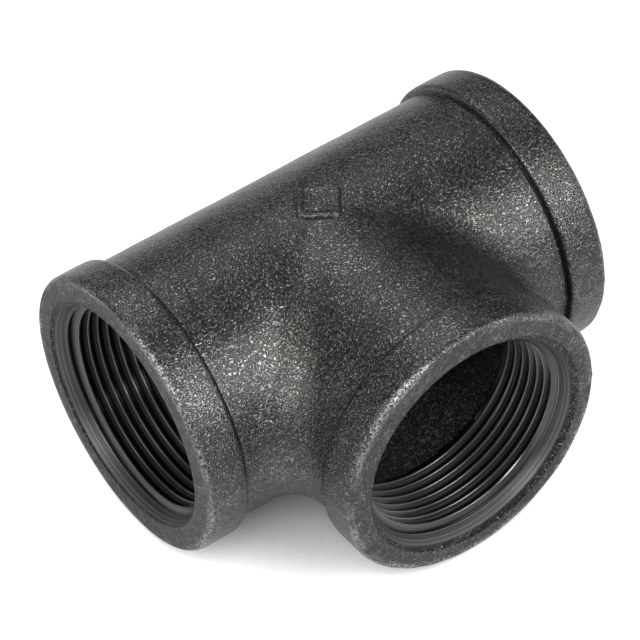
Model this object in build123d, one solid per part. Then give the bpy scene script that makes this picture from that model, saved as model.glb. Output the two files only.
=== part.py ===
from build123d import *
import os

# Banded pipe tee, cast in one piece of malleable iron, with three equal threaded sockets.
# The run lies along X with a socket at each end, and the branch socket points along -Y.
# The axes of the run and the branch cross at the origin, and Z is square to both.
os.makedirs("parts", exist_ok=True)

# Driving dimensions, in millimetres.
centre_to_face = 50.0  # from the crossing of the axes to each socket's face
thread_crest_d = 44.845  # 1 1/2 inch parallel pipe thread, across its crests
thread_depth = 18.4  # from the face to the last full thread
mouth_chamfer = 2.1  # 45 degree lead-in at the face, measured on the radius
chamber_step = 2.2  # how far the cored chamber stands outside the crests, on the radius
wall = 5.0  # cast wall between the chamber and the outside of the barrel
band_rise = 1.6  # how far a band stands proud of the barrel
band_width = 9.2  # length of a band along its axis
shoulder = 1.1  # 45 degree shoulder on the back of a band
edge_round = 2.4  # cast rounding on the front edge of a band
facing_cut = 0.7  # how much of that rounded end the facing cut takes away
branch_draft = 0.3  # the branch is this much slimmer than the run, on the radius
saddle_blend = 9.8  # hollow along the seam of the barrels, widest in the crotches
core_easing = 1.6  # flat broken along the edge where the two chambers meet
seam_margin = 0.3  # barrel left plain between a blend and whatever comes next
core_overrun = 1.0  # how far the core's lead-in cone carries on past the face

# Sizes that follow from them.
crest_radius = thread_crest_d / 2
mouth_radius = crest_radius + mouth_chamfer
chamber_radius = crest_radius + chamber_step
barrel_radius = chamber_radius + wall
band_radius = barrel_radius + band_rise
band_foot = centre_to_face - band_width
cast_end = centre_to_face + facing_cut
thread_end = centre_to_face - thread_depth
thread_start = centre_to_face - mouth_chamfer
runout_end = thread_end - chamber_step

# A blend takes no more than the plain barrel, or plain chamber, beside the seam, and a
# band's shoulder takes no more than its height.
saddle_room = band_foot - barrel_radius - seam_margin
core_room = runout_end - chamber_radius - seam_margin
shoulder_room = 0.8 * band_rise


def half_section(half_outline, both_ways):
    """Half section above the X axis. The half outline holds (along, out) pairs from the middle
    to one end, and the section runs to the middle only, or to both ends."""
    crown = [Vector(along, out) for along, out in half_outline]
    if both_ways:
        crown = [Vector(-point.X, point.Y) for point in reversed(crown)] + crown
    else:
        crown = [Vector(0, crown[0].Y)] + crown
    closing = [Vector(crown[-1].X, 0), Vector(crown[0].X, 0)]
    return make_face(Polyline(*crown, *closing, close=True))


def corners(face, along, out):
    """Corners of a half section at one distance from the middle and one from the axis."""

    def there(corner):
        return abs(abs(corner.X) - along) < 1e-6 and abs(corner.Y - out) < 1e-6

    return [corner for corner in face.vertices() if there(corner)]


def barrel_section(radius, both_ways):
    """Half section of a barrel with a band at each open end, cast long and then faced."""
    outline = [(band_foot, radius), (band_foot, band_radius), (cast_end, band_radius)]
    face = half_section(outline, both_ways)
    face = fillet(corners(face, cast_end, band_radius), edge_round)
    face = chamfer(corners(face, band_foot, band_radius), min(shoulder, shoulder_room))
    return face & Rectangle(2 * centre_to_face, 4 * band_radius)


def core_section(radius, both_ways):
    """Half section of the hollow: chamber, thread run-out, thread crests and lead-in."""
    outline = [
        (runout_end + (chamber_radius - radius), radius),
        (thread_end, crest_radius),
        (thread_start, crest_radius),
        (centre_to_face + core_overrun, mouth_radius + core_overrun),
    ]
    return half_section(outline, both_ways)


def crossed(run_section, branch_section):
    """Run and branch turned about their own axes and joined, with the edges of their seam."""
    run = revolve(run_section, Axis.X)
    branch = revolve(branch_section, Axis.X).rotate(Axis.Z, -90)
    tee = run + branch
    plain = (GeomType.CIRCLE, GeomType.LINE)
    seam = [edge for edge in tee.edges() if edge.geom_type not in plain]
    return tee, seam


def tee_body():
    """The whole casting: the outside less the hollow that the cores and the taps leave."""
    barrels, saddle = crossed(
        barrel_section(barrel_radius, True),
        barrel_section(barrel_radius - branch_draft, False),
    )
    outside = fillet(saddle, min(saddle_blend, saddle_room))
    cores, crossing = crossed(
        core_section(chamber_radius, True),
        core_section(chamber_radius - branch_draft, False),
    )
    hollow = chamfer(crossing, min(core_easing, core_room))
    return outside - hollow


export_step(tee_body(), "parts/tee_body.step")
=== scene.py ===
import math

import bmesh
import bpy
import numpy as np
from mathutils import Matrix, Vector


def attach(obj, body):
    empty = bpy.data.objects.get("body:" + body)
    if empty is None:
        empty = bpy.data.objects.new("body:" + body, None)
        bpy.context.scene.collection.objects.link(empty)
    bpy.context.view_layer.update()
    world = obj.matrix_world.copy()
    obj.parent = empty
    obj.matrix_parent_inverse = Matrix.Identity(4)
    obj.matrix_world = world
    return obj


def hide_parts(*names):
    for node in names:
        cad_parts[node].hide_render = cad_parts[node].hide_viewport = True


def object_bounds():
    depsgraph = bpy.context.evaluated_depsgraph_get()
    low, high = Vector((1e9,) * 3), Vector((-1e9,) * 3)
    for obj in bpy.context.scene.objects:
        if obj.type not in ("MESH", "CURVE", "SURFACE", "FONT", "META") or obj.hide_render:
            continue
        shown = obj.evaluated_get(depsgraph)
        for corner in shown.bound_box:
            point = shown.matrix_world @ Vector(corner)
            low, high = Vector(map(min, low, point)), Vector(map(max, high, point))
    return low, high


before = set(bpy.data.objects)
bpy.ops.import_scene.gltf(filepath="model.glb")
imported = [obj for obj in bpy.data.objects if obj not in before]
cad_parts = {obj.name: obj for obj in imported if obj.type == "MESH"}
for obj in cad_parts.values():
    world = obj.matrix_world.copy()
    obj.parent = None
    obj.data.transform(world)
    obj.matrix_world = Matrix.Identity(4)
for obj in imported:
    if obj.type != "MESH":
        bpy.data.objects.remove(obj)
cad_low, cad_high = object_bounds()
mm = 0.001

# ---------------------------------------------------------------------------
# The barrels and the saddle between them
# Two run legs along X and a branch leg along -Y, one piece of malleable iron cast in a sand
# mould. A hollow follows each seam: the path of a ball that touches both barrels.
# ---------------------------------------------------------------------------
# All sizes are in millimetres from the crossing of the axes.
centre_to_face = 50.0
barrel_radius = 29.6225
barrel_start = 40.0  # where the plain barrel gives way to the band's foot
back_flat = 12.0  # plain stretch behind the crossing, where a run leg has no neighbour
saddle_ball = 9.8
barrel_rows = 20
saddle_rows = 9
leg_steps = 180  # stations round each leg
turn = np.linspace(0.0, 2.0 * np.pi, leg_steps + 1)
upward = np.array([0.0, 0.0, 1.0])
SKIN, FACE, ROUGH_RING, LEAD_IN, THREAD, CORED = range(6)  # the order of the casting's finishes


class Leg:
    """One leg: where it points, the neighbour it turns towards, the way its thread turns in
    that sense, and the side (degrees from the top) and width of the hollow in its face."""

    def __init__(self, outward, neighbour, hand, recess_lean, recess_width):
        self.outward = np.array(outward, float)
        self.neighbour = np.array(neighbour, float)
        self.hand = hand
        self.recess_lean = math.radians(recess_lean)
        self.recess_width = recess_width
        # Both sides of the branch have a neighbour; on a run leg only the front half has.
        self.is_branch = abs(outward[1]) > 0.5
        self.rows = []
        self.finishes = []
        self.inwards = []

    def ring(self, angle):
        """Unit vectors square to the leg, turning from the top towards the neighbour."""
        return np.cos(angle)[:, None] * upward + np.sin(angle)[:, None] * self.neighbour

    def hoop(self, along, radius):
        """One row of points round the leg."""
        along = np.broadcast_to(along, turn.shape)
        radius = np.broadcast_to(radius, turn.shape)
        return along[:, None] * self.outward + radius[:, None] * self.ring(turn)

    def add(self, points, finish, inward=None):
        """Adds a row; the strip that ends at it gets this finish, and `inward` points into the metal."""
        self.rows.append(points)
        self.finishes.append(finish)
        self.inwards.append(-self.ring(turn) if inward is None else inward)


left_run = Leg((-1, 0, 0), (0, -1, 0), 1, 270.0, 1.2)
right_run = Leg((1, 0, 0), (0, -1, 0), -1, 130.0, 1.6)
branch = Leg((0, -1, 0), (-1, 0, 0), -1, 222.0, 2.4)
legs = (left_run, right_run, branch)


def crossing_rows(leg, radius, ball, start, plain_rows, ball_rows, finish, outwards):
    """Rows of a leg's barrel between `start` and the crossing, with the ball's hollow at the end."""
    lean = np.sin(turn)
    facing = np.ones_like(turn, bool) if leg.is_branch else lean >= 0.0
    reach = np.abs(lean)
    contact = np.where(facing, (radius + ball) * reach, back_flat * reach)
    rows = []
    for step in range(plain_rows + 1):
        share = step / plain_rows
        rows.append((leg.hoop(start + (contact - start) * share, radius), -leg.ring(turn)))
    side = leg.neighbour[None, :] * lean[:, None]
    rise = upward[None, :] * np.cos(turn)[:, None]
    ball_centre = (radius + ball) * (rise + side + reach[:, None] * leg.outward)
    first = -(rise + side)
    middle = -(2.0 * rise + side + reach[:, None] * leg.outward)
    middle = middle / np.linalg.norm(middle, axis=1)[:, None]
    spread = np.arccos(np.clip((first * middle).sum(1), -1.0, 1.0))[:, None]
    safe = np.maximum(np.sin(spread), 1e-9)
    for step in range(1, ball_rows + 1):
        share = step / ball_rows
        way = np.sin((1.0 - share) * spread) / safe * first + np.sin(share * spread) / safe * middle
        way = np.where(spread < 1e-6, first, way)
        hollow = ball_centre + ball * way
        plain = leg.hoop(contact * (1.0 - share), radius)
        rows.append((np.where(facing[:, None], hollow, plain), np.where(facing[:, None], way, first)))
    if outwards:
        rows.reverse()
    for points, inward in rows:
        leg.add(points, finish, inward)


for leg in legs:
    crossing_rows(leg, barrel_radius, saddle_ball, barrel_start, barrel_rows, saddle_rows, SKIN, True)


def shader_group(name, inputs, outputs):
    """A node group with named sockets; each input comes with its starting value."""
    group = bpy.data.node_groups.new(name, "ShaderNodeTree")
    for label, value in inputs:
        socket = group.interface.new_socket(label, in_out="INPUT", socket_type="NodeSocketFloat")
        socket.default_value = value
    for label in outputs:
        group.interface.new_socket(label, in_out="OUTPUT", socket_type="NodeSocketFloat")
    return group, group.nodes.new("NodeGroupInput"), group.nodes.new("NodeGroupOutput")


def reckon(tree, operation, *terms):
    """A Math node; each term is a socket or a number."""
    node = tree.nodes.new("ShaderNodeMath")
    node.operation = operation
    for slot, term in enumerate(terms):
        if isinstance(term, (int, float)):
            node.inputs[slot].default_value = term
        else:
            tree.links.new(term, node.inputs[slot])
    return node.outputs[0]


def remap(tree, value, low, high, to_low=0.0, to_high=1.0, smooth=False):
    """A Map Range node; each end is a socket or a number."""
    node = tree.nodes.new("ShaderNodeMapRange")
    if smooth:
        node.interpolation_type = "SMOOTHSTEP"
    tree.links.new(value, node.inputs[0])
    for slot, number in zip((1, 2, 3, 4), (low, high, to_low, to_high)):
        if isinstance(number, (int, float)):
            node.inputs[slot].default_value = number
        else:
            tree.links.new(number, node.inputs[slot])
    return node.outputs[0]


def noise(tree, where, scale, detail, rough, distortion=0.0):
    """A Noise Texture; its scale is a socket or a number, in features per metre."""
    node = tree.nodes.new("ShaderNodeTexNoise")
    tree.links.new(where, node.inputs["Vector"])
    if isinstance(scale, (int, float)):
        node.inputs["Scale"].default_value = scale
    else:
        tree.links.new(scale, node.inputs["Scale"])
    node.inputs["Detail"].default_value = detail
    node.inputs["Roughness"].default_value = rough
    node.inputs["Distortion"].default_value = distortion
    return node.outputs[0]


def object_place(tree):
    return tree.nodes.new("ShaderNodeTexCoord").outputs["Object"]


# Sand grain of the mould: pebbles with thin creases between them, fine grains on top, and
# broad patches of tone.
cast_grain, grain_in, grain_out = shader_group(
    "cast_grain",
    (("Grains per metre", 4800.0), ("Pebbles per metre", 1500.0), ("Pebble share", 0.75)),
    ("Height", "Grain", "Patch"),
)
place = object_place(cast_grain)
grains = noise(cast_grain, place, grain_in.outputs["Grains per metre"], 1.5, 0.5, 0.3)
swell = noise(cast_grain, place, grain_in.outputs["Pebbles per metre"], 1.0, 0.5, 0.6)
crease = reckon(cast_grain, "ABSOLUTE", reckon(cast_grain, "MULTIPLY_ADD", swell, 2.0, -1.0))
pebbles = remap(cast_grain, crease, 0.0, 0.42)
grain_height = reckon(cast_grain, "MULTIPLY", grains, 0.6)
pebble_height = reckon(cast_grain, "MULTIPLY", pebbles, grain_in.outputs["Pebble share"])
cast_grain.links.new(reckon(cast_grain, "ADD", pebble_height, grain_height), grain_out.inputs["Height"])
both = reckon(cast_grain, "MULTIPLY_ADD", pebbles, 0.2, reckon(cast_grain, "MULTIPLY", grains, 0.8))
cast_grain.links.new(remap(cast_grain, both, 0.34, 0.7), grain_out.inputs["Grain"])
patch = noise(cast_grain, place, 75.0, 3.0, 0.6)
cast_grain.links.new(remap(cast_grain, patch, 0.36, 0.66), grain_out.inputs["Patch"])


# ---------------------------------------------------------------------------
# The bands
# The raised collar at each mouth, cast with the body: a small groove and a soft shoulder at
# its foot, a rounded front edge, and the flat face that the facing cut leaves.
# ---------------------------------------------------------------------------
band_radius = 31.2225
band_foot = 40.8
foot_groove = band_foot - 0.12  # the bottom of the groove, along the leg
front_round = 2.0  # height of the rounded front edge's curve
front_start, front_long = 1.5, 1.98  # where the curve starts behind the face, and its length
face_edge = (1.05, 1.3)  # how far under the band's top the flat face begins
face_outer = 28.8
recess_inner = 24.98
recess_least = 0.12  # width of the moulded hollow on its narrow side
recess_taper = 1.3  # power with which it narrows
# The foot's profile: forward of the foot in millimetres, and the share of the band's rise.
foot_profile = (
    (-0.55, 0.0),
    (-0.38, -0.07),
    (-0.18, -0.13),
    (-0.04, -0.05),
    (0.02, 0.14),
    (0.07, 0.38),
    (0.15, 0.64),
)
# The soft shoulder over the foot: a quarter of an ellipse, its centre's place and its half sizes.
shoulder_forward, shoulder_under = 1.3, 0.62
shoulder_long, shoulder_high = 1.15, 0.6


def recess_outer(leg):
    """Outer edge of the moulded hollow inside the face, which sits to one side of each mouth."""
    nearness = 0.5 + 0.5 * np.cos(turn - leg.recess_lean)
    return recess_inner + recess_least + leg.recess_width * nearness**recess_taper


for leg in legs:
    band_rise = band_radius - barrel_radius
    for forward, share in foot_profile:
        leg.add(leg.hoop(band_foot + forward, barrel_radius + share * band_rise), SKIN)
    for step in range(1, 6):
        bend = math.radians(90.0 - 18.0 * step) if step < 5 else 0.0
        radius = band_radius - shoulder_under + shoulder_high * math.cos(bend)
        leg.add(leg.hoop(band_foot + shoulder_forward - shoulder_long * math.sin(bend), radius), SKIN)
    for forward in (3.0, 4.6, 6.2):
        leg.add(leg.hoop(band_foot + forward, band_radius), SKIN)
    for step in range(6):
        bend = math.radians(9.6 * step)
        radius = band_radius - front_round + front_round * math.cos(bend)
        leg.add(leg.hoop(centre_to_face - front_start + front_long * math.sin(bend), radius), SKIN)
    for radius in (band_radius - face_edge[0], band_radius - face_edge[1], face_outer, recess_outer(leg)):
        leg.add(leg.hoop(centre_to_face, radius), FACE)


def place_group(tree, group, **values):
    """A group in a material or another group, with its own values for the sockets named."""
    node = tree.nodes.new("ShaderNodeGroup")
    node.node_tree = group
    for label, value in values.items():
        node.inputs[label.replace("_", " ")].default_value = value
    return node


# Where a point is on its leg: how far along it, how far from its axis, and how high, in metres.
leg_place, place_in, place_out = shader_group("leg_place", (), ("Station", "Radius", "Height"))
split = leg_place.nodes.new("ShaderNodeSeparateXYZ")
leg_place.links.new(object_place(leg_place), split.inputs[0])
x, y, z = split.outputs
along_run = reckon(leg_place, "ABSOLUTE", x)
along_branch = reckon(leg_place, "MULTIPLY", y, -1.0)
on_branch = reckon(leg_place, "GREATER_THAN", along_branch, along_run)
on_run = reckon(leg_place, "SUBTRACT", 1.0, on_branch)
across_branch = reckon(leg_place, "MULTIPLY", on_branch, along_run)
across_run = reckon(leg_place, "MULTIPLY", on_run, reckon(leg_place, "ABSOLUTE", y))
across = reckon(leg_place, "ADD", across_branch, across_run)
square = reckon(leg_place, "MULTIPLY_ADD", across, across, reckon(leg_place, "MULTIPLY", z, z))
leg_place.links.new(reckon(leg_place, "MAXIMUM", along_run, along_branch), place_out.inputs["Station"])
leg_place.links.new(reckon(leg_place, "SQRT", square), place_out.inputs["Radius"])
leg_place.links.new(z, place_out.inputs["Height"])

# Rubbed metal along the front edge of a band, and painted shade in the groove at its foot, most of it
# on the lower half.
rubbed_station, rubbed_radius = 49.9, 30.2
edge_wear_and_foot_shade, wear_in, wear_and_shade_out = shader_group("edge_wear_and_foot_shade", (("Width", 0.0014),), ("Wear", "Painted foot shade"))
where = place_group(edge_wear_and_foot_shade, leg_place)
off_face = reckon(edge_wear_and_foot_shade, "SUBTRACT", where.outputs["Station"], rubbed_station * mm)
off_side = reckon(edge_wear_and_foot_shade, "SUBTRACT", where.outputs["Radius"], rubbed_radius * mm)
off_side_square = reckon(edge_wear_and_foot_shade, "MULTIPLY", off_side, off_side)
off_edge = reckon(edge_wear_and_foot_shade, "SQRT", reckon(edge_wear_and_foot_shade, "MULTIPLY_ADD", off_face, off_face, off_side_square))
near_edge = remap(edge_wear_and_foot_shade, off_edge, wear_in.outputs["Width"], 0.0003, 0.0, 1.0, True)
place = object_place(edge_wear_and_foot_shade)
speckle = remap(edge_wear_and_foot_shade, noise(edge_wear_and_foot_shade, place, 1900.0, 2.0, 0.6), 0.44, 0.6)
stretches = remap(edge_wear_and_foot_shade, noise(edge_wear_and_foot_shade, place, 90.0, 2.0, 0.6), 0.35, 0.62)
broken = reckon(edge_wear_and_foot_shade, "MULTIPLY", speckle, stretches)
edge_wear_and_foot_shade.links.new(reckon(edge_wear_and_foot_shade, "MULTIPLY", near_edge, broken), wear_and_shade_out.inputs["Wear"])
# Painted shade: the groove at the band's foot is darkened, more towards the bottom.
off_foot = reckon(edge_wear_and_foot_shade, "SUBTRACT", where.outputs["Station"], foot_groove * mm)
in_groove = remap(edge_wear_and_foot_shade, reckon(edge_wear_and_foot_shade, "ABSOLUTE", off_foot), 0.00042, 0.00012, 0.0, 1.0, True)
lower_shade_share = remap(edge_wear_and_foot_shade, where.outputs["Height"], 0.0295, 0.02, 0.05, 0.6, True)
edge_wear_and_foot_shade.links.new(reckon(edge_wear_and_foot_shade, "MULTIPLY", in_groove, lower_shade_share), wear_and_shade_out.inputs["Painted foot shade"])


def start_material(name):
    material = bpy.data.materials.new(name)
    material.use_nodes = True
    return material, material.node_tree, material.node_tree.nodes["Principled BSDF"]


def blend_colour(tree, share, first, second):
    """From the first colour to the second; each is a socket or a plain colour."""
    node = tree.nodes.new("ShaderNodeMix")
    node.data_type = "RGBA"
    tree.links.new(share, node.inputs[0])
    for slot, colour in ((6, first), (7, second)):
        if isinstance(colour, tuple):
            node.inputs[slot].default_value = (*colour, 1.0)
        else:
            tree.links.new(colour, node.inputs[slot])
    return node.outputs[2]


def grain_and_glint_colour(tree, grain, pits, middle, peaks):
    """Colour from the bottoms of the grain to its rubbed tops, whose pale tone also serves as painted
    glints.
    """
    ramp = tree.nodes.new("ShaderNodeValToRGB")
    ramp.color_ramp.elements[0].position = 0.12
    ramp.color_ramp.elements[0].color = (*pits, 1.0)
    ramp.color_ramp.elements[1].position = 0.9
    ramp.color_ramp.elements[1].color = (*peaks, 1.0)
    ramp.color_ramp.elements.new(0.55).color = (*middle, 1.0)
    tree.links.new(grain, ramp.inputs[0])
    return ramp.outputs[0]


def raise_by(tree, shader, height, depth):
    """A Bump node into the shader's Normal; depth is the full height in metres."""
    node = tree.nodes.new("ShaderNodeBump")
    node.inputs["Strength"].default_value = 1.0
    node.inputs["Distance"].default_value = depth
    tree.links.new(height, node.inputs["Height"])
    tree.links.new(node.outputs[0], shader.inputs["Normal"])


bare_iron = (0.4, 0.4, 0.4)
# Painted shade colours: near-black for the groove at a band's foot and for tight corners.
painted_groove_shade = (0.012, 0.012, 0.012)
painted_corner_shade = (0.02, 0.02, 0.02)

# As-cast skin with its black oxide, warmer in patches, with painted shade in tight corners and in the
# bands' foot grooves.
skin, tree, shader = start_material("cast_skin")
grain = place_group(tree, cast_grain)
wear = place_group(tree, edge_wear_and_foot_shade)
# The pale peaks are partly rubbed metal and partly painted glints.
warm_grain = ((0.035, 0.0344, 0.0318), (0.112, 0.11, 0.1025), (0.305, 0.301, 0.286))
cool_grain = ((0.026, 0.026, 0.026), (0.084, 0.084, 0.0835), (0.235, 0.235, 0.237))
warm = grain_and_glint_colour(tree, grain.outputs["Grain"], *warm_grain)
cool = grain_and_glint_colour(tree, grain.outputs["Grain"], *cool_grain)
# Painted shade: an ambient occlusion node darkens the colour in tight corners.
corner = tree.nodes.new("ShaderNodeAmbientOcclusion")
corner.samples = 6
corner.inputs["Distance"].default_value = 0.0016
corner_shade_share = remap(tree, corner.outputs["AO"], 0.78, 0.4)
colour = blend_colour(tree, grain.outputs["Patch"], cool, warm)
# Painted shade: near-black in the band's foot groove and in tight corners.
colour = blend_colour(tree, wear.outputs["Painted foot shade"], colour, painted_groove_shade)
colour = blend_colour(tree, corner_shade_share, colour, painted_corner_shade)
colour = blend_colour(tree, wear.outputs["Wear"], colour, bare_iron)
tree.links.new(colour, shader.inputs["Base Color"])
shader.inputs["Metallic"].default_value = 0.8
shader.inputs["Roughness"].default_value = 0.27
raise_by(tree, shader, grain.outputs["Height"], 0.00008)

# The faced rim: mottled blue-grey scale, with a rubbed outer edge.
faced_rim, tree, shader = start_material("faced_rim")
grain = place_group(tree, cast_grain, Pebbles_per_metre=900.0)
wear = place_group(tree, edge_wear_and_foot_shade)
light_scale = ((0.02, 0.0205, 0.022), (0.068, 0.0695, 0.0735), (0.24, 0.244, 0.255))
dark_scale = ((0.01, 0.0102, 0.011), (0.034, 0.0345, 0.036), (0.12, 0.122, 0.127))
light = grain_and_glint_colour(tree, grain.outputs["Grain"], *light_scale)
dark = grain_and_glint_colour(tree, grain.outputs["Grain"], *dark_scale)
mottle = remap(tree, noise(tree, object_place(tree), 260.0, 4.0, 0.7, 1.0), 0.4, 0.6)
colour = blend_colour(tree, mottle, dark, light)
colour = blend_colour(tree, wear.outputs["Wear"], colour, bare_iron)
tree.links.new(colour, shader.inputs["Base Color"])
shader.inputs["Metallic"].default_value = 0.35
shader.inputs["Roughness"].default_value = 0.48
raise_by(tree, shader, grain.outputs["Height"], 0.00016)


# ---------------------------------------------------------------------------
# The mouths
# A rough hollow left by the mould just inside the face, then the smooth cone that the
# countersink cuts as a lead-in, then the tapped thread down to its run-out.
# ---------------------------------------------------------------------------
pitch = 2.309
crest_radius = 22.4225
root_radius = 23.9
# A flat drilled crest with a small bevel, straight flanks and a rounded root, by share of the pitch.
thread_phases = np.array([0.0, 0.055, 0.085, 0.105, 0.375, 0.42, 0.5])
thread_shares = np.array([0.0, 0.0, 0.045, 0.13, 0.91, 0.985, 1.0])
row_phases = (0.055, 0.085, 0.105, 0.375, 0.42, 0.5, 0.58, 0.625, 0.895, 0.915, 0.945)
first_groove = 2.76  # depth of the first root below the face, at the top of the mouth
thread_end = 18.4
runout_end = 20.6
chamber_radius = 24.6225
# The cone's depths below the face, and its radius at each.
lead_in_start, lead_in_break, lead_in_end = 0.3, 2.0, 3.7
lead_in_radius, lead_in_small = 24.9, 24.05
recess_lip = 0.16  # depth of the hollow's inner edge
widest_dip = 2.4  # a hollow wider than this gets no deeper
# Across the hollow: how far in from its outer edge, and how deep, by share of its width.
recess_profile = ((0.12, 0.12), (0.35, 0.24), (0.65, 0.25), (0.92, 0.17))

for leg in legs:
    wide = recess_outer(leg) - recess_inner
    for inward, sink in recess_profile:
        dip = sink * np.minimum(wide, widest_dip)
        leg.add(leg.hoop(centre_to_face - dip, recess_outer(leg) - inward * wide), ROUGH_RING)
    leg.add(leg.hoop(centre_to_face - recess_lip, recess_inner), ROUGH_RING)


def thread_radius(phase):
    """Radius of the 55 degree thread in the bore; 0 is the middle of a crest and 0.5 of a root."""
    off_crest = np.abs((phase + 0.5) % 1.0 - 0.5)
    return np.interp(off_crest, thread_phases, crest_radius + (root_radius - crest_radius) * thread_shares)


def bore_radius(depth, phase):
    """Widest of the thread, the lead-in and the run-out at this depth."""
    lead_in_radii = [lead_in_radius, lead_in_small, crest_radius]
    lead = np.interp(depth, [lead_in_start, lead_in_break, lead_in_end], lead_in_radii)
    run_out = np.interp(depth, [thread_end, runout_end], [crest_radius, chamber_radius])
    return np.maximum(np.maximum(lead, run_out), thread_radius(phase))


for leg in legs:
    leg.add(leg.hoop(centre_to_face - lead_in_start, lead_in_radius), LEAD_IN)
    for whole in range(-1, math.ceil(runout_end / pitch) + 2):
        for part in row_phases:
            phase = whole + part
            depth = first_groove - pitch + pitch * (phase + leg.hand * turn / (2.0 * np.pi))
            depth = np.clip(depth, lead_in_start, runout_end)
            leg.add(leg.hoop(centre_to_face - depth, bore_radius(depth, phase)), THREAD)
    leg.add(leg.hoop(centre_to_face - runout_end, chamber_radius), THREAD)

# The hollow inside the face, rough sand grain that catches the light.
rough_ring, tree, shader = start_material("rough_ring")
grain = place_group(tree, cast_grain, Pebbles_per_metre=1500.0)
ring_grain = ((0.01, 0.01, 0.01), (0.05, 0.05, 0.049), (0.3, 0.3, 0.295))
tree.links.new(grain_and_glint_colour(tree, grain.outputs["Grain"], *ring_grain), shader.inputs["Base Color"])
shader.inputs["Metallic"].default_value = 0.6
shader.inputs["Roughness"].default_value = 0.32
raise_by(tree, shader, grain.outputs["Height"], 0.0007)

# Fine turning lines round the bore, and broader streaks of tone with them.
lathe_lines, lathe_in, lathe_out = shader_group(
    "lathe_lines", (("Lines per metre", 5200.0),), ("Height", "Streak")
)
where = place_group(lathe_lines, leg_place)
section_place = lathe_lines.nodes.new("ShaderNodeCombineXYZ")
lathe_lines.links.new(where.outputs["Station"], section_place.inputs[0])
lathe_lines.links.new(where.outputs["Radius"], section_place.inputs[1])
lines = noise(lathe_lines, section_place.outputs[0], lathe_in.outputs["Lines per metre"], 1.0, 0.5)
streaks = noise(lathe_lines, section_place.outputs[0], 2600.0, 2.0, 0.5)
lathe_lines.links.new(lines, lathe_out.inputs["Height"])
lathe_lines.links.new(remap(lathe_lines, streaks, 0.38, 0.62), lathe_out.inputs["Streak"])

# The narrow strip that opens the cone.
lead_in, tree, shader = start_material("lead_in")
lathe = place_group(tree, lathe_lines)
colour = blend_colour(tree, lathe.outputs["Streak"], (0.035, 0.035, 0.034), (0.11, 0.11, 0.106))
tree.links.new(colour, shader.inputs["Base Color"])
shader.inputs["Metallic"].default_value = 0.1
shader.inputs["Roughness"].default_value = 0.45
raise_by(tree, shader, lathe.outputs["Height"], 0.00006)

# The thread: paler crests as a painted highlight, satin flanks, black roots as painted shade, and the
# duller cone before it.
# Painted highlight on the crests and painted shade in the roots, set by radius.
crest_highlight_radii = (22.62, 22.48)  # radii between which the crest's tone comes in
root_shade = (23.3, 23.65)  # radii between which the root's black comes in
cone_fade = (46.9, 47.5)  # stations between which the thread's finish gives way to the cone's
cut_thread, tree, shader = start_material("cut_thread")
where = place_group(tree, leg_place)
lathe = place_group(tree, lathe_lines)
flank = blend_colour(tree, lathe.outputs["Streak"], (0.05, 0.05, 0.051), (0.1, 0.1, 0.102))
cone = blend_colour(tree, lathe.outputs["Streak"], (0.03, 0.03, 0.029), (0.11, 0.11, 0.106))
painted_crest_highlight = remap(tree, where.outputs["Radius"], crest_highlight_radii[0] * mm, crest_highlight_radii[1] * mm)
painted_root_shade = remap(tree, where.outputs["Radius"], root_shade[0] * mm, root_shade[1] * mm)
cone_ends = (cone_fade[0] * mm, cone_fade[1] * mm)
on_cone = remap(tree, where.outputs["Station"], *cone_ends)
# Painted highlight on the crests, then painted shade in the roots.
colour = blend_colour(tree, painted_crest_highlight, flank, (0.17, 0.17, 0.17))
colour = blend_colour(tree, painted_root_shade, colour, (0.008, 0.008, 0.008))
tree.links.new(blend_colour(tree, on_cone, colour, cone), shader.inputs["Base Color"])
tree.links.new(remap(tree, where.outputs["Station"], *cone_ends, 0.7, 0.2), shader.inputs["Metallic"])
tree.links.new(remap(tree, where.outputs["Station"], *cone_ends, 0.26, 0.45), shader.inputs["Roughness"])
raise_by(tree, shader, lathe.outputs["Height"], 0.00002)


# ---------------------------------------------------------------------------
# The cored chamber
# Inside the threads the sand core leaves a wider rough room in each leg. The edge where two
# of them meet is a little rounded.
# ---------------------------------------------------------------------------
core_ball = 2.0
core_plain_rows = 9
core_ball_rows = 5
for leg in legs:
    core_start = centre_to_face - runout_end
    crossing_rows(leg, chamber_radius, core_ball, core_start, core_plain_rows, core_ball_rows, CORED, False)

cored_chamber, tree, shader = start_material("cored_chamber")
grain = place_group(tree, cast_grain, Pebbles_per_metre=1400.0)
core_grain = ((0.005, 0.005, 0.005), (0.018, 0.018, 0.018), (0.22, 0.22, 0.22))
tree.links.new(grain_and_glint_colour(tree, grain.outputs["Grain"], *core_grain), shader.inputs["Base Color"])
shader.inputs["Metallic"].default_value = 0.6
shader.inputs["Roughness"].default_value = 0.33
raise_by(tree, shader, grain.outputs["Height"], 0.0003)


# ---------------------------------------------------------------------------
# The casting as one piece
# The legs' rows joined into one closed shell. Sand moulds never leave a true surface, so the
# outside wanders inwards a little; where the mould's halves met, a low ridge stands at mid height.
# ---------------------------------------------------------------------------
wander = 0.16  # how far the outside may wander inwards
ridge_rise = 0.16
ridge_width = 0.75
weld_gap = 2e-6
sharp_edge = math.radians(32.0)


def unevenness(points):
    """Smooth wandering between 0 and 1, from a few crossing waves."""
    x, y, z = points[:, 0], points[:, 1], points[:, 2]
    waves = (
        np.sin(0.41 * x + 0.23 * y + 0.31 * z + 0.7)
        + np.sin(-0.19 * x + 0.47 * y - 0.27 * z + 2.1)
        + np.sin(0.13 * x - 0.29 * y + 0.53 * z + 4.4)
        + 0.7 * np.sin(0.83 * x + 0.71 * y - 0.59 * z + 1.3)
        + 0.7 * np.sin(-0.77 * x + 0.67 * y + 0.91 * z + 5.2)
    )
    return 0.5 + waves / 8.8


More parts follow.
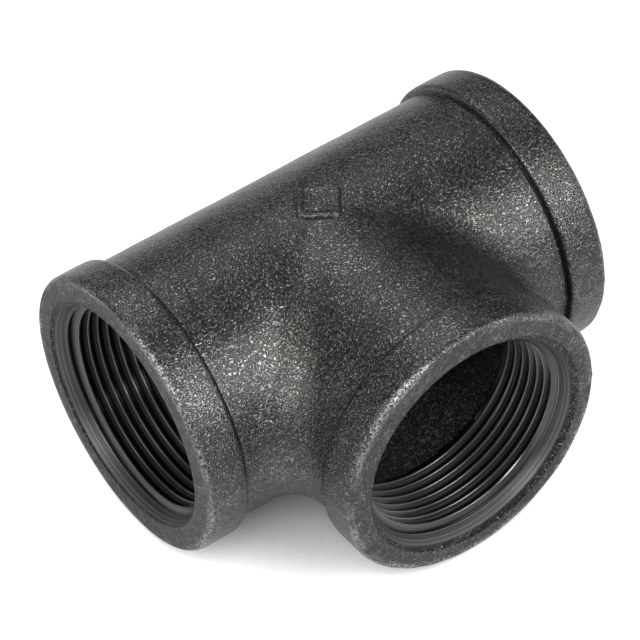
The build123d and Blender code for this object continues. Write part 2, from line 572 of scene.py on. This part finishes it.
points = []
quads = []
finish_of_quad = []
for leg in legs:
    base = sum(len(block) for block in points)
    grid = np.array(leg.rows)
    for number, finish in enumerate(leg.finishes):
        if finish == SKIN:
            row = grid[number]
            ridge = np.exp(-((row[:, 2] / ridge_width) ** 2))
            sink = wander * unevenness(row) + ridge_rise * (1.0 - ridge)
            grid[number] = row + leg.inwards[number] * sink[:, None]
    points.append(grid.reshape(-1, 3))
    wide = leg_steps + 1
    for number in range(1, len(leg.rows)):
        for step in range(leg_steps):
            a = base + (number - 1) * wide + step
            quads.append((a, a + 1, a + wide + 1, a + wide))
            finish_of_quad.append(leg.finishes[number])

mesh = bpy.data.meshes.new("tee_casting")
mesh.from_pydata((np.concatenate(points) * mm).tolist(), [], quads)
mesh.polygons.foreach_set("material_index", finish_of_quad)
work = bmesh.new()
work.from_mesh(mesh)
bmesh.ops.remove_doubles(work, verts=work.verts, dist=weld_gap)
bmesh.ops.dissolve_degenerate(work, edges=work.edges, dist=weld_gap / 2.0)
bmesh.ops.recalc_face_normals(work, faces=work.faces)
for facet in work.faces:
    facet.smooth = True
for edge in work.edges:
    edge.smooth = edge.calc_face_angle(0.0) < sharp_edge
work.to_mesh(mesh)
work.free()
for finish in (skin, faced_rim, rough_ring, lead_in, cut_thread, cored_chamber):
    mesh.materials.append(finish)
casting = bpy.data.objects.new("tee_casting", mesh)
bpy.context.collection.objects.link(casting)
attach(casting, "root")
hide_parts("tee_body")


# ---------------------------------------------------------------------------
# The mark pad
# A low raised square on top of the crossing, where a foundry casts its mark. It is cast
# with the body and left bare, with a slightly dished middle inside a raised rim.
# ---------------------------------------------------------------------------
pad_side = 9.2
pad_turn = math.radians(-37.0)
pad_centre = (0.1, -0.5)
pad_rise = 0.62
pad_root = 1.0  # how far the pad reaches down into the casting
pad_cells = 30
pad_corner = 9.0  # power of the rounded square; a higher one has sharper corners
# From the middle (0) to the edge (1), the height over the casting.
pad_reach = (0.0, 0.62, 0.78, 0.86, 0.92, 0.96, 1.0)
pad_heights = (0.26, 0.3, pad_rise, pad_rise, 0.5, 0.1, -0.6)


def top_of_crossing(x, y):
    """Height of the casting's outside near the top of the crossing."""
    run_top = math.sqrt(barrel_radius**2 - y * y)
    branch_top = math.sqrt(barrel_radius**2 - x * x) if y < 0.0 else run_top
    return max(run_top, branch_top)


pad_points = []
for lift in (True, False):
    for row in range(pad_cells + 1):
        for column in range(pad_cells + 1):
            u = math.sin(math.pi / 2.0 * (2.0 * column / pad_cells - 1.0))
            v = math.sin(math.pi / 2.0 * (2.0 * row / pad_cells - 1.0))
            a, b = u * pad_side / 2.0, v * pad_side / 2.0
            x = pad_centre[0] + a * math.cos(pad_turn) - b * math.sin(pad_turn)
            y = pad_centre[1] + a * math.sin(pad_turn) + b * math.cos(pad_turn)
            reach = (abs(u) ** pad_corner + abs(v) ** pad_corner) ** (1.0 / pad_corner)
            rise = float(np.interp(min(reach, 1.0), pad_reach, pad_heights)) if lift else -pad_root
            pad_points.append((x * mm, y * mm, (top_of_crossing(x, y) + rise) * mm))
pad_quads = []
wide = pad_cells + 1
under = wide * wide
for row in range(pad_cells):
    for column in range(pad_cells):
        a = row * wide + column
        pad_quads.append((a, a + 1, a + wide + 1, a + wide))
        pad_quads.append((under + a, under + a + wide, under + a + wide + 1, under + a + 1))
rim_points = list(range(wide))
rim_points += [row * wide + pad_cells for row in range(1, wide)]
rim_points += [pad_cells * wide + column for column in range(pad_cells - 1, -1, -1)]
rim_points += [row * wide for row in range(pad_cells - 1, 0, -1)]
for number, a in enumerate(rim_points):
    b = rim_points[(number + 1) % len(rim_points)]
    pad_quads.append((b, a, under + a, under + b))
pad_mesh = bpy.data.meshes.new("mark_pad")
pad_mesh.from_pydata(pad_points, [], pad_quads)
work = bmesh.new()
work.from_mesh(pad_mesh)
bmesh.ops.recalc_face_normals(work, faces=work.faces)
for facet in work.faces:
    facet.smooth = True
work.to_mesh(pad_mesh)
work.free()
pad_mesh.materials.append(skin)
mark_pad = bpy.data.objects.new("mark_pad", pad_mesh)
bpy.context.collection.objects.link(mark_pad)
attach(mark_pad, "root")


# ---------------------------------------------------------------------------
# The floor and the backdrop
# A plain pale floor that shows nearly white, darker where the fitting shuts out the light and in a painted
# contact shadow round it, under a white backdrop that a polished part would show as well.
# ---------------------------------------------------------------------------
floor_half = 3.0
floor_mesh = bpy.data.meshes.new("floor")
floor_corners = [
    (a * floor_half, b * floor_half, cad_low.z) for a, b in ((-1, -1), (1, -1), (1, 1), (-1, 1))
]
floor_mesh.from_pydata(floor_corners, [], [(0, 1, 2, 3)])
floor = bpy.data.objects.new("floor", floor_mesh)
bpy.context.collection.objects.link(floor)


def white_rays(tree):
    """The rays that look straight at the background, and those that meet it in metal or glass."""
    rays = tree.nodes.new("ShaderNodeLightPath")
    through = reckon(tree, "MAXIMUM", rays.outputs["Is Glossy Ray"], rays.outputs["Is Transmission Ray"])
    return rays.outputs["Is Camera Ray"], through


floor_glow = 0.6  # the floor's own light to the camera
floor_glow_in_metal = 0.15
pale_floor, tree, shader = start_material("pale_floor")
# Painted contact shadow: an ambient occlusion node darkens the floor's colour and its glow near the
# fitting, on top of the lamps' own shadow.
contact = tree.nodes.new("ShaderNodeAmbientOcclusion")
contact.samples = 16
contact.inputs["Distance"].default_value = 0.026
outside_painted_shadow = remap(tree, contact.outputs["AO"], 0.05, 0.5)
tree.links.new(blend_colour(tree, outside_painted_shadow, (0.3, 0.3, 0.3), (0.8, 0.8, 0.8)), shader.inputs["Base Color"])
shader.inputs["Roughness"].default_value = 0.9
shader.inputs["Specular IOR Level"].default_value = 0.0
straight, through = white_rays(tree)
to_camera = reckon(tree, "MULTIPLY", straight, floor_glow)
to_metal = reckon(tree, "MULTIPLY", through, floor_glow_in_metal)
glow = reckon(tree, "MULTIPLY", reckon(tree, "MAXIMUM", to_camera, to_metal), outside_painted_shadow)
shader.inputs["Emission Color"].default_value = (1.0, 1.0, 1.0, 1.0)
tree.links.new(glow, shader.inputs["Emission Strength"])
floor_mesh.materials.append(pale_floor)

studio_dimness = 0.04  # the world's light away from the backdrop
backdrop_top = 0.14  # sine of the height at which metal stops showing the backdrop
backdrop_in_metal = 0.25
world = bpy.data.worlds.new("studio")
bpy.context.scene.world = world
world.use_nodes = True
tree = world.node_tree
tree.nodes["Background"].inputs["Color"].default_value = (1.0, 1.0, 1.0, 1.0)
sky = tree.nodes.new("ShaderNodeSeparateXYZ")
tree.links.new(tree.nodes.new("ShaderNodeTexCoord").outputs["Generated"], sky.inputs[0])
near_floor = remap(tree, sky.outputs[2], backdrop_top, 0.0, 0.0, backdrop_in_metal, True)
straight, through = white_rays(tree)
backdrop = reckon(tree, "MAXIMUM", straight, reckon(tree, "MULTIPLY", through, near_floor))
strength = reckon(tree, "MAXIMUM", backdrop, studio_dimness)
tree.links.new(strength, tree.nodes["Background"].inputs["Strength"])


# ---------------------------------------------------------------------------
# The lights and the camera
# Five square soft boxes on a dome round the fitting, and a long lens that looks down on it
# from the front left.
# ---------------------------------------------------------------------------
dome_radius = 1.3


def outward_way(azimuth, elevation):
    a, e = math.radians(azimuth), math.radians(elevation)
    return Vector((math.sin(a) * math.cos(e), -math.cos(a) * math.cos(e), math.sin(e)))


def soft_light(name, azimuth, elevation, size, radiance):
    """A square soft box aimed at the fitting."""
    back = outward_way(azimuth, elevation)
    lamp = bpy.data.lights.new(name, "AREA")
    lamp.shape = "SQUARE"
    lamp.size = size
    lamp.energy = radiance * math.pi * size * size
    lamp_object = bpy.data.objects.new(name, lamp)
    lamp_object.location = back * dome_radius
    lamp_object.rotation_mode = "QUATERNION"
    lamp_object.rotation_quaternion = back.to_track_quat("Z", "Y")
    bpy.context.collection.objects.link(lamp_object)


soft_light("left_box", 308.0, 46.0, 0.63, 7.6)
soft_light("right_box", 20.0, 36.0, 0.63, 10.2)
soft_light("low_left_box", 262.0, 27.0, 0.75, 2.2)
soft_light("back_box", 166.0, 57.0, 0.8, 2.7)
soft_light("far_right_box", 70.0, 25.0, 0.6, 1.3)

camera_azimuth, camera_elevation, camera_roll = -33.743, 44.923, -3.704
camera_distance, aside, below = 0.74048, 0.000697, 0.002911
back = outward_way(camera_azimuth, camera_elevation)
level = Vector((math.cos(math.radians(camera_azimuth)), math.sin(math.radians(camera_azimuth)), 0.0))
upright = back.cross(level)
roll = math.radians(camera_roll)
right = level * math.cos(roll) + upright * math.sin(roll)
up = upright * math.cos(roll) - level * math.sin(roll)
camera_data = bpy.data.cameras.new("camera")
camera_data.sensor_width = 36.0
camera_data.lens = 202.1175
camera_data.clip_start, camera_data.clip_end = 0.05, 20.0
camera = bpy.data.objects.new("camera", camera_data)
eye = back * camera_distance - right * aside - up * below
camera.matrix_world = Matrix.Translation(eye) @ Matrix((right, up, back)).transposed().to_4x4()
bpy.context.collection.objects.link(camera)
bpy.context.scene.camera = camera
bpy.context.scene.view_settings.view_transform = "Standard"
